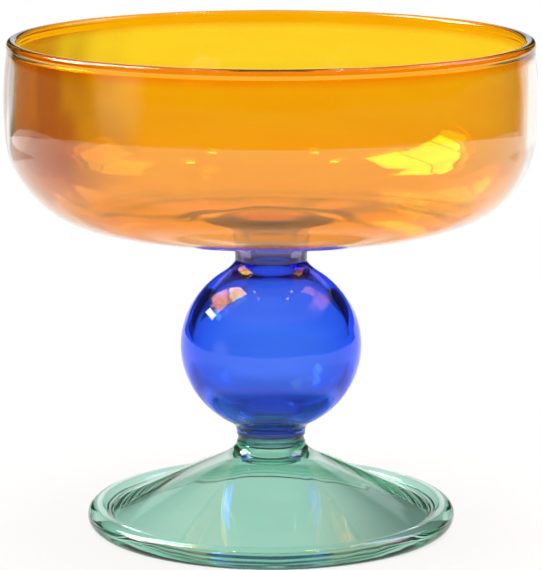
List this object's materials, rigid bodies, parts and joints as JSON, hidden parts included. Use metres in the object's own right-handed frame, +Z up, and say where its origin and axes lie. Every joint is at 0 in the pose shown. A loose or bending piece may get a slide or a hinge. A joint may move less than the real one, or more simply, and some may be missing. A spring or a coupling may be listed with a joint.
{
  "type": "footed dessert bowl",
  "caption": "Footed glass dessert bowl: a round amber cup on a hollow cobalt ball stem and a hollow, conical teal foot with a rolled edge, fused in line.",
  "frame": {"origin": "centre of the foot's resting ring, on the table", "axes": "+Z up along the common axis of foot, ball and bowl; +X and +Y level and alike, because the object is round"},
  "size_m": [0.1112, 0.1112, 0.1038],
  "materials": {
    "teal_glass": "clear pale teal blown glass, fire-polished",
    "dark_teal_glass": "dark blue-green fused glass, fire-polished",
    "cobalt_glass": "clear deep cobalt blown glass, fire-polished",
    "violet_grey_glass": "violet-grey fused glass, fire-polished",
    "amber_glass": "clear orange-amber blown glass, fire-polished"
  },
  "bodies": {
    "root": {"foot": "teal_glass", "foot_weld": "dark_teal_glass", "ball_stem": "cobalt_glass", "bowl_weld": "violet_grey_glass", "bowl": "amber_glass"}
  },
  "joints": []
}
